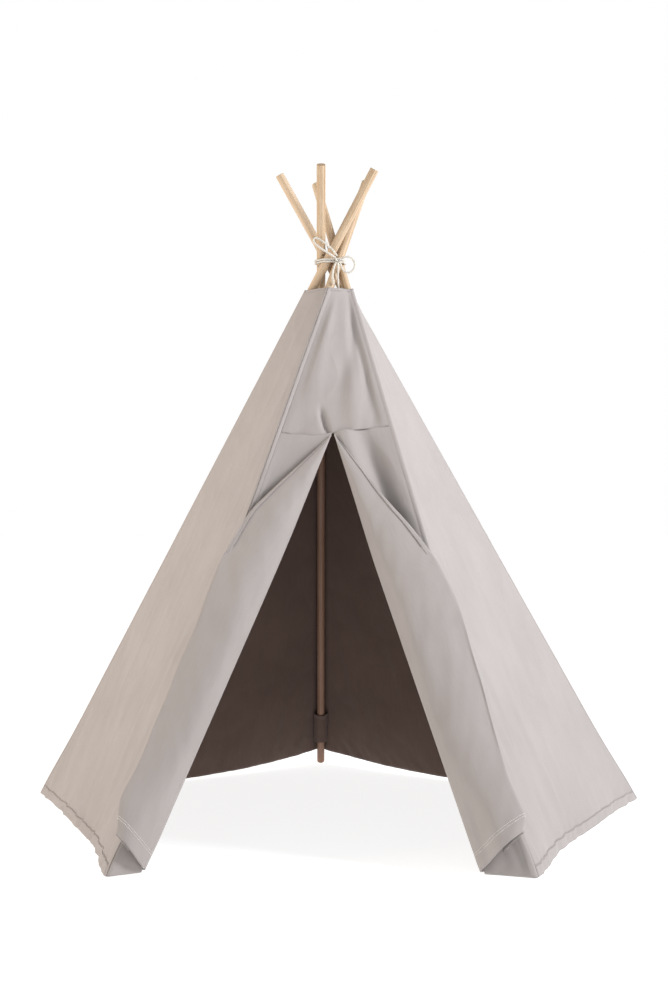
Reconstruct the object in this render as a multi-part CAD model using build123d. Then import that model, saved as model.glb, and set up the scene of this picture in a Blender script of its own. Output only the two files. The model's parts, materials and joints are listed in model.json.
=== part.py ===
from build123d import *
import os
from math import atan2, cos, pi, radians, sin, tan

# ---------------------------------------------------------------- driving sizes, millimetres
POLE_LENGTH = 1850.0
POLE_DIAMETER = 22.0
POLE_EDGE_ROUNDING = 1.5
FOOT_RING_RADIUS = 797.0      # from the middle of the tent to each pole's axis, at the floor
CROSSING_HEIGHT = 1388.0      # where the poles pass each other
POLE_GAP = 0.4                # between the two poles that pass closest
CORD_DIAMETER = 5.0
CORD_HOLE_CLEARANCE = 1.0     # by how much wider than the cord its hole is
SPARE_HOLE_RISE = 17.0        # from the crossing to the unused hole, along the back pole
FOLDED_SHARE = 0.97           # how much of the angle between two poles the fold takes up

# Where each foot stands round the middle, in degrees from +X. The tent is set up by hand.
FOOT_AZIMUTHS = {
    "right": 13.4,
    "back": 92.4,
    "left": 160.6,
    "front_left": 237.8,
    "front_right": 299.9,
}

CANVAS_THICKNESS = 1.2
CORNER_SEAM_WIDTH = 14.0
CORNER_GAP_TOP = 0.8          # between a pole and the canvas outside it, at the top hem
CORNER_GAP_BOTTOM = 10.0      # the same at the floor, where the cover hangs looser
SEAM_SETBACK = 0.8            # between a panel and the corner seam beside it
TOP_HEM_DROP = 73.0           # from the crossing down to the cover's top hem
FLOOR_GAP = 1.0
BACK_HEM_RISE = 42.0          # how far the cover is pulled up at the back pole
DOOR_SEAM_DROP = 440.0        # from the crossing down to the seam over the door
DOOR_TOP_SHARE = 0.47         # place of the door's top along the seam, from the left
LEFT_FIXED_WIDTH = 36.0       # canvas left beside the open door, at the floor
RIGHT_FIXED_WIDTH = 76.0
PANEL_GAP = 1.5               # between two canvas pieces that are sewn edge to edge

FLAP_THICKNESS = 5.0          # the door flap is canvas folded over on itself
FLAP_REST_ANGLE = 12.0        # how far the folded-back flap stands off the canvas under it
FLAP_SWING = 160.0
FLAP_FLOOR_GAP = 6.0
FLAP_OUTLINE = {              # (share of the fold line from the door's top, width in mm)
    "left": [
        (0.01, 0.0), (0.24, 100.0), (0.37, 117.0), (0.5, 108.0), (0.84, 96.0), (0.9, 101.0),
        (0.966, 72.0), (1.0, 0.0),
    ],
    "right": [
        (0.01, 0.0), (0.16, 50.0), (0.26, 94.0), (0.38, 131.0), (0.45, 138.0), (0.85, 110.0),
        (0.948, 121.0), (0.964, 95.0), (1.0, 0.0),
    ],
}

POLE_LOOP_HEIGHT = 87.0
POLE_LOOP_BASE = 73.0         # from the floor to the loop's lower edge
POLE_LOOP_WIDTH = 42.0
POLE_LOOP_SLACK = 0.6

LASHING_SLACK = 0.7           # between the poles and the cord wound round them
LASHING_TURN_GAP = 0.6        # between the two cord turns
KNOT_AZIMUTH = -62.0
KNOT_RADIUS = 8.0
KNOT_STAND_OFF = 2.0          # from the cord turns behind the knot

# ---------------------------------------------------------------- places worked out from them
POLE_RADIUS = POLE_DIAMETER / 2
CORD_HOLE_DIAMETER = CORD_DIAMETER + CORD_HOLE_CLEARANCE
LASHING_TURN_PITCH = CORD_DIAMETER + LASHING_TURN_GAP
TOP_HEM_HEIGHT = CROSSING_HEIGHT - TOP_HEM_DROP
DOOR_SEAM_HEIGHT = CROSSING_HEIGHT - DOOR_SEAM_DROP
LEAN = atan2(FOOT_RING_RADIUS, CROSSING_HEIGHT)
POLE_NAMES = list(FOOT_AZIMUTHS)
NEIGHBOURS = list(zip(POLE_NAMES, POLE_NAMES[1:] + POLE_NAMES[:1]))


def outward(name):
    """Level direction from the middle of the tent to a pole's foot."""
    angle = radians(FOOT_AZIMUTHS[name])
    return Vector(cos(angle), sin(angle), 0)


def sideways(name):
    """Level direction, square to a pole, in which it passes beside the middle."""
    direction = outward(name)
    return Vector(-direction.Y, direction.X, 0)


def pole_direction(name):
    """Unit vector up along a pole."""
    return (Vector(0, 0, CROSSING_HEIGHT) - outward(name) * FOOT_RING_RADIUS).normalized()


def spread(one, other):
    """Distance between two poles' axes for each millimetre that they pass off the middle."""
    normal = pole_direction(one).cross(pole_direction(other)).normalized()
    return abs((sideways(other) - sideways(one)).dot(normal))


CROSSING_OFFSET = (POLE_DIAMETER + POLE_GAP) / min(spread(a, b) for a, b in NEIGHBOURS)


def pole_centre(name, height):
    """Point of a pole's axis at a height above the floor."""
    reach = FOOT_RING_RADIUS * (1 - height / CROSSING_HEIGHT)
    return sideways(name) * CROSSING_OFFSET + outward(name) * reach + Vector(0, 0, height)


FOOT_CENTRE_HEIGHT = (
    (POLE_RADIUS - POLE_EDGE_ROUNDING) * sin(LEAN) + POLE_EDGE_ROUNDING * (1 - cos(LEAN))
)


def hinge(parent, child):
    """Where two poles pass closest: a point on each axis, the axis between, and the angle."""
    p, u = pole_centre(parent, 0), pole_direction(parent)
    q, v = pole_centre(child, 0), pole_direction(child)
    along = u.dot(v)
    gap = q - p
    s = (gap.dot(u) - along * gap.dot(v)) / (1 - along * along)
    t = (along * gap.dot(u) - gap.dot(v)) / (1 - along * along)
    on_parent, on_child = p + u * s, q + v * t
    closing_axis = v.cross(u).normalized()
    return on_parent, on_child, closing_axis, u.get_angle(v)


# The five poles are tied in a ring. The ring is left open between the two front poles.
HINGES = {
    "left": hinge("back", "left"),
    "front_left": hinge("left", "front_left"),
    "right": hinge("back", "right"),
    "front_right": hinge("right", "front_right"),
}
HINGE_PARENT = {"left": "back", "front_left": "left", "right": "back", "front_right": "right"}


def rod(start, end, radius):
    """Round bar between two points."""
    axis = Plane(origin=start, z_dir=end - start)
    bar = extrude(axis * Circle(radius), amount=(end - start).length)
    return bar.solid()


def make_pole(name):
    """Round pole with rounded ends and a hole for each cord that ties it to a neighbour."""
    base = pole_centre(name, FOOT_CENTRE_HEIGHT)
    bar = rod(base, base + pole_direction(name) * POLE_LENGTH, POLE_RADIUS)
    bar = fillet(bar.edges().filter_by(GeomType.CIRCLE), POLE_EDGE_ROUNDING)
    for child, (on_parent, on_child, _, _) in HINGES.items():
        if name in (child, HINGE_PARENT[child]):
            reach = (on_child - on_parent).normalized() * POLE_DIAMETER * 2
            bar -= rod(on_parent - reach, on_child + reach, CORD_HOLE_DIAMETER / 2)
    if name == "back":
        bar -= spare_hole()
    return bar.solid()


def spare_hole():
    """Unused hole through the back pole, above the lashing and facing the front right."""
    on_back, on_left, _, _ = HINGES["left"]
    centre = on_back + pole_direction("back") * SPARE_HOLE_RISE
    reach = (on_left - on_back).normalized() * POLE_DIAMETER
    return rod(centre - reach, centre + reach, CORD_HOLE_DIAMETER / 2)


def make_tie(child):
    """Stretch of cord through two neighbouring poles, which is the pin they fold on."""
    on_parent, on_child, _, _ = HINGES[child]
    reach = (on_child - on_parent).normalized() * POLE_RADIUS
    return rod(on_parent - reach, on_child + reach, CORD_DIAMETER / 2)


# ---------------------------------------------------------------- cover
def corner_frame(name, height, gap):
    """Point outside a pole where the canvas turns, with its outward and sideways directions."""
    centre = pole_centre(name, height)
    away = level(centre).normalized()
    return centre + away * (POLE_RADIUS / cos(LEAN) + gap), away, Vector(-away.Y, away.X, 0)


def level(vector):
    """The same vector laid level."""
    return Vector(vector.X, vector.Y, 0)


def corner_line(name, height, across):
    """Point at a height on the straight line, beside a pole, where the canvas turns."""
    low, _, low_tangent = corner_frame(name, 0, CORNER_GAP_BOTTOM)
    top, _, top_tangent = corner_frame(name, TOP_HEM_HEIGHT, CORNER_GAP_TOP)
    share = height / TOP_HEM_HEIGHT
    low_point = low + low_tangent * across
    return low_point + (top + top_tangent * across - low_point) * share


def corner_edge(name, height, side):
    """Edge of a panel beside a pole: side is 1 anticlockwise of the pole and -1 clockwise."""
    return corner_line(name, height, side * (CORNER_SEAM_WIDTH / 2 + SEAM_SETBACK))


def sheet(top, low, inward, thickness=CANVAS_THICKNESS):
    """Thin canvas solid from a top edge to a lower edge, creased along one diagonal."""
    offset = inward.normalized() * thickness
    outer = [top[0], top[1], low[1], low[0]]
    inner = [corner + offset for corner in outer]
    outlines = []
    for skin in (outer, inner):
        outlines += [[skin[0], skin[1], skin[2]], [skin[0], skin[2], skin[3]]]
    for first in range(4):
        second = (first + 1) % 4
        outlines.append([outer[first], outer[second], inner[second], inner[first]])
    faces = [make_face(Polyline(*outline, close=True)).face() for outline in outlines]
    return Solid(Shell(faces))


def make_panel(one, other, low_one=FLOOR_GAP, low_other=FLOOR_GAP):
    """Side of the cover between two neighbouring poles, from the top hem down."""
    top = [corner_edge(one, TOP_HEM_HEIGHT, 1), corner_edge(other, TOP_HEM_HEIGHT, -1)]
    low = [corner_edge(one, low_one, 1), corner_edge(other, low_other, -1)]
    middle = (top[0] + top[1] + low[0] + low[1]) / 4
    return sheet(top, low, level(middle) * -1)


def make_corner_seam(name):
    """Narrow strip of doubled canvas that runs down the outside of a pole."""
    base = BACK_HEM_RISE if name == "back" else FLOOR_GAP
    half = CORNER_SEAM_WIDTH / 2
    top = [corner_line(name, TOP_HEM_HEIGHT, half), corner_line(name, TOP_HEM_HEIGHT, -half)]
    low = [corner_line(name, base, half), corner_line(name, base, -half)]
    return sheet(top, low, outward(name))


def make_pole_loop(name):
    """Flat tube of canvas that holds a pole in the cover's bottom corner."""
    base = pole_centre(name, POLE_LOOP_BASE)
    axis = Plane(origin=base, x_dir=sideways(name), z_dir=pole_direction(name))
    inner_radius = POLE_RADIUS + POLE_LOOP_SLACK
    length = POLE_LOOP_WIDTH - 2 * (inner_radius + CANVAS_THICKNESS)
    inner = SlotCenterToCenter(length, 2 * inner_radius)
    outer = SlotCenterToCenter(length, 2 * (inner_radius + CANVAS_THICKNESS))
    return extrude(axis * (outer - inner), amount=POLE_LOOP_HEIGHT / cos(LEAN)).solid()


SEAM_LEFT = corner_edge("front_left", DOOR_SEAM_HEIGHT, 1)
SEAM_RIGHT = corner_edge("front_right", DOOR_SEAM_HEIGHT, -1)
DOOR_TOP = SEAM_LEFT + (SEAM_RIGHT - SEAM_LEFT) * DOOR_TOP_SHARE
FLOOR_LEFT = corner_edge("front_left", FLOOR_GAP, 1)
FLOOR_RIGHT = corner_edge("front_right", FLOOR_GAP, -1)
FLOOR_ALONG = (FLOOR_RIGHT - FLOOR_LEFT).normalized()
FRONT_NORMAL = (FLOOR_RIGHT - FLOOR_LEFT).cross(DOOR_TOP - FLOOR_LEFT).normalized()
FRONT_IN = level(FLOOR_LEFT + FLOOR_RIGHT) * -1
FOLD_FOOT = {
    "left": FLOOR_LEFT + FLOOR_ALONG * LEFT_FIXED_WIDTH,
    "right": FLOOR_RIGHT - FLOOR_ALONG * RIGHT_FIXED_WIDTH,
}


def make_front_top():
    """Front of the cover above the door."""
    top = [
        corner_edge("front_left", TOP_HEM_HEIGHT, 1),
        corner_edge("front_right", TOP_HEM_HEIGHT, -1),
    ]
    return sheet(top, [SEAM_LEFT, SEAM_RIGHT], FRONT_IN)


def make_front_side(side):
    """Canvas left beside the open door, between the corner seam and the flap's fold."""
    seam_end, floor_end = (SEAM_LEFT, FLOOR_LEFT) if side == "left" else (SEAM_RIGHT, FLOOR_RIGHT)
    drop = (floor_end - seam_end).normalized() * PANEL_GAP
    inner = (seam_end - DOOR_TOP).normalized() * PANEL_GAP
    top = [seam_end + drop, DOOR_TOP + drop + inner]
    return sheet(top, [floor_end, FOLD_FOOT[side]], FRONT_IN)


def flap_hinge(side):
    """Fold line of a door flap: its top, its foot, and the axis that swings it shut."""
    stand_off = FRONT_NORMAL * (FLAP_THICKNESS / 2 + PANEL_GAP)
    top = DOOR_TOP + stand_off
    foot = FOLD_FOOT[side] + stand_off
    down = (foot - top).normalized()
    foot = foot - down * (FLAP_FLOOR_GAP / cos(LEAN))
    closing_axis = down * (-1 if side == "left" else 1)
    return top, foot, closing_axis


def make_flap(side):
    """Door flap folded back outwards, standing slightly off the canvas beside it."""
    top, foot, closing_axis = flap_hinge(side)
    down = (foot - top).normalized()
    away = down.cross(FRONT_NORMAL) * (1 if side == "left" else -1)
    if away.dot(FLOOR_ALONG) * (1 if side == "left" else -1) > 0:
        away = away * -1
    lift = radians(FLAP_REST_ANGLE)
    away = away * cos(lift) + FRONT_NORMAL * sin(lift)
    length = (foot - top).length
    outline = [top + down * share * length + away * width for share, width in FLAP_OUTLINE[side]]
    face = make_face(Polyline(*outline, close=True))
    thick = extrude(face, amount=FLAP_THICKNESS / 2, both=True)
    return thick.solid()


# ---------------------------------------------------------------- lashing
CROSSING = Vector(0, 0, CROSSING_HEIGHT)
WRAP_ARC_RADIUS = POLE_RADIUS / cos(LEAN) ** 0.5 + LASHING_SLACK + CORD_DIAMETER / 2


def wrap_path(height):
    """Closed line of one turn of cord round the five poles."""
    centres = sorted(
        (pole_centre(name, CROSSING_HEIGHT + height) for name in POLE_NAMES),
        key=lambda point: atan2(point.Y, point.X),
    )
    core = make_face(Polyline(*centres, close=True))
    return offset(core, WRAP_ARC_RADIUS, kind=Kind.ARC).face().outer_wire()


def make_wrap(height):
    """One turn of cord wound tight round the crossing."""
    path = wrap_path(height)
    section = Plane(origin=path @ 0, z_dir=path % 0) * Circle(CORD_DIAMETER / 2)
    return sweep(section, path=path).solid()


KNOT_REACH = CROSSING_OFFSET + WRAP_ARC_RADIUS + KNOT_STAND_OFF
KNOT_CENTRE = CROSSING + Vector(
    KNOT_REACH * cos(radians(KNOT_AZIMUTH)), KNOT_REACH * sin(radians(KNOT_AZIMUTH)), 0
)

# Routes of the free cord, from the middle of the knot: right, back and up are positive.
UPPER_LOOP = [
    (-5, -7, 5), (-16, -11, 12), (-30, -14, 20), (-44, -17, 29), (-55, -18, 37), (-60, -18, 44),
    (-60, -18, 51), (-54, -18, 54), (-45, -17, 50), (-33, -15, 42), (-21, -13, 33), (-10, -10, 22),
    (-1, -7, 9),
]
SIDE_LOOP = [
    (7, -4, 3), (15, -6, 7), (25, -7, 8), (35, -7, 4), (42, -6, -5), (43, -5, -16),
    (39, -4, -26), (30, -4, -32), (20, -5, -31), (12, -6, -24), (8, -6, -15), (6, -5, -6),
]
LEFT_TAIL = [
    (-4, -6, -6), (-8, -9, -15), (-11, -12, -27), (-13, -16, -40), (-12, -20, -52), (-9, -22, -64),
]
RIGHT_TAIL = [
    (1, -7, -7), (2, -9, -18), (1, -10, -29), (0, -10, -41), (1, -10, -54), (2, -9, -68),
    (3, -9, -83), (3, -11, -97),
]
SHORT_END = [(-20, 30, 14), (-23, 30, 23), (-24, 32, 32), (-27, 34, 41), (-29, 37, 50)]
FREE_CORDS = {
    "upper_bow_loop": UPPER_LOOP,
    "side_bow_loop": SIDE_LOOP,
    "left_cord_tail": LEFT_TAIL,
    "right_cord_tail": RIGHT_TAIL,
    "short_cord_end": SHORT_END,
}


def corner_radii(points):
    """Largest arc that each corner of a route leaves room for."""
    radii = []
    for before, here, after in zip(points, points[1:], points[2:]):
        run_in, run_out = here - before, after - here
        half_turn = radians(run_in.get_angle(run_out)) / 2
        radii.append(0.45 * min(run_in.length, run_out.length) / tan(half_turn))
    return radii


def make_cord(name):
    """Tube of cord along a route of straight runs joined by arcs."""
    points = [KNOT_CENTRE + Vector(*step) for step in FREE_CORDS[name]]
    radii = corner_radii(points)
    path = FilletPolyline(*points, radius=radii)
    section = Plane(origin=path @ 0, z_dir=path % 0) * Circle(CORD_DIAMETER / 2)
    tube = sweep(section, path=path).solid()
    ideal = pi * CORD_DIAMETER ** 2 / 4 * path.length
    print(name, "length", round(path.length, 1), "smallest radius", round(min(radii), 1),
          "volume over ideal", round(tube.volume / ideal, 4))
    return tube


def make_knot():
    """Lump of the bow knot, wider than it is deep."""
    return Location(KNOT_CENTRE) * Sphere(KNOT_RADIUS)


# ---------------------------------------------------------------- all pieces
def build_nodes():
    """Every separate piece of the tent by name, before it is centred."""
    nodes = {}
    for name in POLE_NAMES:
        nodes[name + "_pole"] = make_pole(name)
        nodes[name + "_pole_loop"] = make_pole_loop(name)
        nodes[name + "_corner_seam"] = make_corner_seam(name)
    for child in HINGES:
        nodes[child + "_pole_tie"] = make_tie(child)
    nodes["back_left_panel"] = make_panel("back", "left", low_one=BACK_HEM_RISE)
    nodes["left_side_panel"] = make_panel("left", "front_left")
    nodes["right_side_panel"] = make_panel("front_right", "right")
    nodes["back_right_panel"] = make_panel("right", "back", low_other=BACK_HEM_RISE)
    nodes["front_top_panel"] = make_front_top()
    for side in ("left", "right"):
        nodes["front_" + side + "_panel"] = make_front_side(side)
        nodes[side + "_door_flap"] = make_flap(side)
    nodes["lower_cord_turn"] = make_wrap(-LASHING_TURN_PITCH / 2)
    nodes["upper_cord_turn"] = make_wrap(LASHING_TURN_PITCH / 2)
    nodes["bow_knot"] = make_knot()
    for name in FREE_CORDS:
        nodes[name] = make_cord(name)
    return nodes


def centring_shift(nodes):
    """Level move that puts the middle of the whole tent's outline over the origin."""
    boxes = [node.bounding_box() for node in nodes.values()]
    middle_x = (min(box.min.X for box in boxes) + max(box.max.X for box in boxes)) / 2
    middle_y = (min(box.min.Y for box in boxes) + max(box.max.Y for box in boxes)) / 2
    return Vector(-middle_x, -middle_y, 0)


NODES = build_nodes()
CENTRING = centring_shift(NODES)
os.makedirs("parts", exist_ok=True)
for node_name, node in NODES.items():
    export_step(Location(CENTRING) * node, "parts/" + node_name + ".step")
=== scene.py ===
"""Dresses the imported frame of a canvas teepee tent: cloth, seams, cord and wood."""

import json
import logging
import math
from dataclasses import dataclass, field
from enum import Enum
from typing import Callable, Sequence

import bpy
import numpy as np
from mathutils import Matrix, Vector, noise


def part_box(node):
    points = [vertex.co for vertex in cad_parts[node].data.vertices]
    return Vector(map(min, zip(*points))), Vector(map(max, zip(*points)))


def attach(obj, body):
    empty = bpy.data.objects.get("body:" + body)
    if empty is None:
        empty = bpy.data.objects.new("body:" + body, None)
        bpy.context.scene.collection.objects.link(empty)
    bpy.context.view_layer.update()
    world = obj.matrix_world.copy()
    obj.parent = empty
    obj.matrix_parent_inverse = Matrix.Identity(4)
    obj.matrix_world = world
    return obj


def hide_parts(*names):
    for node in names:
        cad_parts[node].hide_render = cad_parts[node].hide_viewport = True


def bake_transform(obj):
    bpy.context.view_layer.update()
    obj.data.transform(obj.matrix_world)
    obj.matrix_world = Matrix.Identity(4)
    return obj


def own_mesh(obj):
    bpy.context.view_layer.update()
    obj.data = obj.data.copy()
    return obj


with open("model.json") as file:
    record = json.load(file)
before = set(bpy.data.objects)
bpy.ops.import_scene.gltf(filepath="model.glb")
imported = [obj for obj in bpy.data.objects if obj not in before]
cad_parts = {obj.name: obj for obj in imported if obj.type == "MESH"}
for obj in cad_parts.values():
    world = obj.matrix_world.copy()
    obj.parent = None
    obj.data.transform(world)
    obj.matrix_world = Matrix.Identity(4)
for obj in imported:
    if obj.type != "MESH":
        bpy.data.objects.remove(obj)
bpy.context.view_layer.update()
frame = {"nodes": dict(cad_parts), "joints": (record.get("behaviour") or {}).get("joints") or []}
LOG = logging.getLogger("teepee")

MM = 0.001
UP = np.array([0.0, 0.0, 1.0])
CANVAS_THICKNESS = 1.1 * MM
COVER_HEIGHT = 1315 * MM
CORD_DIAMETER = 5.0 * MM
POLE_NAMES = ("right", "back", "left", "front_left", "front_right")


# ------------------------------------------------------------------ small geometry helpers
def unit(vector: np.ndarray) -> np.ndarray:
    """Same direction, one long."""
    return vector / np.linalg.norm(vector)


def distances(line: np.ndarray) -> np.ndarray:
    """Distance of each point of a line from its start, along the line."""
    return np.concatenate([[0.0], np.cumsum(np.linalg.norm(np.diff(line, axis=0), axis=1))])


def at_distances(values: np.ndarray, along: np.ndarray, places: np.ndarray) -> np.ndarray:
    """Values of a line, known at the distances along it, at some other places."""
    return np.stack([np.interp(places, along, values[:, k]) for k in range(3)], axis=1)


def smooth(value: np.ndarray) -> np.ndarray:
    """Eased step from 0 to 1."""
    value = np.clip(value, 0.0, 1.0)
    return value * value * (3 - 2 * value)


def node_points(node: str) -> np.ndarray:
    """The separate corner points of a CAD node, in metres."""
    points = np.array([vertex.co for vertex in frame["nodes"][node].data.vertices])
    return np.unique(points.round(5), axis=0)


def wander(x: np.ndarray, y: np.ndarray, size_x: float, size_y: float, seed: float) -> np.ndarray:
    """Smooth random height from about -1 to 1 over a flat area.

    Args:
        x: Places across, in millimetres.
        y: Places down, in millimetres.
        size_x: Width of a bump, in millimetres.
        size_y: Length of a bump, in millimetres.
        seed: Picks one pattern among many.

    Returns:
        One height for each place.
    """
    flat_x, flat_y = np.ravel(x / size_x), np.ravel(y / size_y)
    values = [noise.noise(Vector((a, b, seed * 7.31))) for a, b in zip(flat_x, flat_y)]
    return np.array(values).reshape(np.shape(x)) * 1.6


# ------------------------------------------------------------------ finishes
def linear(hex_colour: str) -> tuple[float, float, float, float]:
    """Turns an sRGB hex colour into the linear colour that a shader takes."""
    channels = [int(hex_colour[start:start + 2], 16) / 255 for start in (1, 3, 5)]
    lin = [c / 12.92 if c <= 0.04045 else ((c + 0.055) / 1.055) ** 2.4 for c in channels]
    return (*lin, 1.0)


def add_node(tree: bpy.types.NodeTree, kind: str, settings: dict | None = None,
             values: dict | None = None, links: dict | None = None) -> bpy.types.Node:
    """Adds a shader node with its settings, fixed inputs and links.

    Args:
        tree: Node tree that the node joins.
        kind: Blender's name for the kind of node.
        settings: Node properties by name.
        values: Fixed input values by socket name or number.
        links: Output sockets by the input that each one feeds.

    Returns:
        The new node.
    """
    node = tree.nodes.new(kind)
    for name, value in (settings or {}).items():
        setattr(node, name, value)
    for name, value in (values or {}).items():
        node.inputs[name].default_value = value
    for name, socket in (links or {}).items():
        tree.links.new(socket, node.inputs[name])
    return node


def blank_material(name: str) -> tuple[bpy.types.Material, bpy.types.NodeTree]:
    """New material whose node tree is empty."""
    material = bpy.data.materials.new(name)
    material.use_nodes = True
    material.node_tree.nodes.clear()
    return material, material.node_tree


def colour_steps(tree: bpy.types.NodeTree, factor: bpy.types.NodeSocket,
                 stops: Sequence[tuple[float, str]]) -> bpy.types.Node:
    """Colour ramp through sRGB hex stops, driven by a factor."""
    ramp = add_node(tree, "ShaderNodeValToRGB", links={"Fac": factor})
    while len(ramp.color_ramp.elements) < len(stops):
        ramp.color_ramp.elements.new(0.5)
    for element, (place, colour) in zip(ramp.color_ramp.elements, stops):
        element.position = place
        element.color = linear(colour)
    return ramp


def wave_scale(period_mm: float) -> float:
    """Scale of a wave texture whose bands repeat at a real distance."""
    return 2 * math.pi / 20 / (period_mm * MM)


def noise_scale(size_mm: float) -> float:
    """Scale of a noise texture whose blots are about a real size."""
    return 1 / (size_mm * MM)


def noise_node(tree: bpy.types.NodeTree, place: bpy.types.NodeSocket, scale: float = 1.0,
               detail: float = 2.0, **values: float) -> bpy.types.NodeSocket:
    """Adds a noise texture and gives its grey value."""
    return add_node(tree, "ShaderNodeTexNoise",
                    values={"Scale": scale, "Detail": detail, **values},
                    links={"Vector": place}).outputs["Fac"]


def scaled_place(tree: bpy.types.NodeTree, place: bpy.types.NodeSocket,
                 scale: tuple[float, float, float]) -> bpy.types.NodeSocket:
    """Stretches texture places by a scale on each axis."""
    return add_node(tree, "ShaderNodeMapping", values={"Scale": scale},
                    links={"Vector": place}).outputs[0]


def mixed_value(tree: bpy.types.NodeTree, share: float, first: bpy.types.NodeSocket,
                second: bpy.types.NodeSocket) -> bpy.types.NodeSocket:
    """Mixes a share of the second grey value into the first."""
    return add_node(tree, "ShaderNodeMix", {"data_type": "FLOAT"}, values={0: share},
                    links={2: first, 3: second}).outputs[0]


def bump_node(tree: bpy.types.NodeTree, height: bpy.types.NodeSocket, strength: float,
              depth_mm: float, **under: bpy.types.NodeSocket) -> bpy.types.NodeSocket:
    """Raises a surface by a grey value, on top of the bumps given as Normal."""
    return add_node(tree, "ShaderNodeBump",
                    values={"Strength": strength, "Distance": depth_mm * MM},
                    links={"Height": height, **under}).outputs[0]


def surface(tree: bpy.types.NodeTree, values: dict, links: dict) -> None:
    """Ends a material with a principled shader."""
    shader = add_node(tree, "ShaderNodeBsdfPrincipled", values=values, links=links)
    add_node(tree, "ShaderNodeOutputMaterial", links={"Surface": shader.outputs[0]})


@dataclass(frozen=True)
class CottonCanvas:
    """Plain-woven, piece-dyed cotton canvas: matt, faintly slubbed, a little fuzzy."""

    name: str
    light: str
    dark: str
    # Real threads are 0.5 mm apart, too fine to show, so the weave is drawn coarser.
    thread_mm: float = 1.7
    slub_width_mm: float = 2.2
    slub_length_mm: float = 55.0
    # The dye takes a little unevenly, so a wall of cloth is never one flat tone.
    blot_mm: float = 260.0
    crumple_mm: float = 34.0
    roughness: float = 0.92

    def make(self) -> bpy.types.Material:
        """Builds the material over UVs measured in metres of cloth."""
        material, tree = blank_material(self.name)
        place = add_node(tree, "ShaderNodeTexCoord").outputs["UV"]
        warp, weft = (
            add_node(
                tree, "ShaderNodeTexWave",
                settings={"wave_type": "BANDS", "bands_direction": direction},
                values={"Scale": wave_scale(self.thread_mm), "Distortion": 0.6,
                        "Detail": 1.0, "Detail Scale": 2.0},
                links={"Vector": place},
            ).outputs["Fac"]
            for direction in ("X", "Y")
        )
        weave = add_node(tree, "ShaderNodeMath", {"operation": "MULTIPLY"},
                         links={0: warp, 1: weft}).outputs[0]
        slub_scale = (1 / (self.slub_width_mm * MM), 1 / (self.slub_length_mm * MM), 1.0)
        slubs = noise_node(tree, scaled_place(tree, place, slub_scale), detail=3.0)
        blots = noise_node(tree, place, noise_scale(self.blot_mm), 4.0)
        tone = mixed_value(tree, 0.28, blots, slubs)
        colour = colour_steps(tree, tone, [(0.34, self.dark), (0.62, self.light)])
        crumple = noise_node(tree, place, noise_scale(self.crumple_mm), 5.0, Roughness=0.55)
        soft = bump_node(tree, crumple, 0.35, 1.6)
        slubbed = bump_node(tree, slubs, 0.16, 0.25, Normal=soft)
        woven = bump_node(tree, weave, 0.35, 0.3, Normal=slubbed)
        surface(tree, values={"Roughness": self.roughness, "IOR": 1.5,
                              "Specular IOR Level": 0.25, "Sheen Weight": 0.12,
                              "Sheen Roughness": 0.5},
                links={"Base Color": colour.outputs[0], "Normal": woven})
        return material


@dataclass(frozen=True)
class SpunThread:
    """Spun polyester sewing thread: matt, each stitch catching a little light."""

    name: str
    colour: str
    shade: str
    # About three stitches long, so the tone changes along a row and no row looks printed.
    blot_mm: float = 9.0

    def make(self) -> bpy.types.Material:
        """Builds the material with a faint change of tone from stitch to stitch."""
        material, tree = blank_material(self.name)
        place = add_node(tree, "ShaderNodeTexCoord").outputs["Object"]
        tone = noise_node(tree, place, noise_scale(self.blot_mm))
        colour = colour_steps(tree, tone, [(0.35, self.shade), (0.65, self.colour)])
        surface(tree, values={"Roughness": 0.7, "Specular IOR Level": 0.35},
                links={"Base Color": colour.outputs[0]})
        return material


@dataclass(frozen=True)
class BraidedCotton:
    """Bleached cotton cord: warm white, soft, with fine fibres along the strands."""

    name: str
    light: str = "#d6d2ca"
    dark: str = "#aea698"
    fibre_mm: float = 0.7
    # A little handling has greyed the cord in places.
    soil_mm: float = 22.0

    def make(self) -> bpy.types.Material:
        """Builds the material. Its braid is in the cord's own shape."""
        material, tree = blank_material(self.name)
        place = add_node(tree, "ShaderNodeTexCoord").outputs["Object"]
        fibres = noise_node(tree, place, noise_scale(self.fibre_mm), 4.0)
        soil = noise_node(tree, place, noise_scale(self.soil_mm))
        tone = mixed_value(tree, 0.5, fibres, soil)
        colour = colour_steps(tree, tone, [(0.3, self.dark), (0.55, self.light)])
        fuzz = bump_node(tree, fibres, 0.4, 0.3)
        surface(tree, values={"Roughness": 0.88, "Sheen Weight": 0.25,
                              "Specular IOR Level": 0.25},
                links={"Base Color": colour.outputs[0], "Normal": fuzz})
        return material


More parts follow.
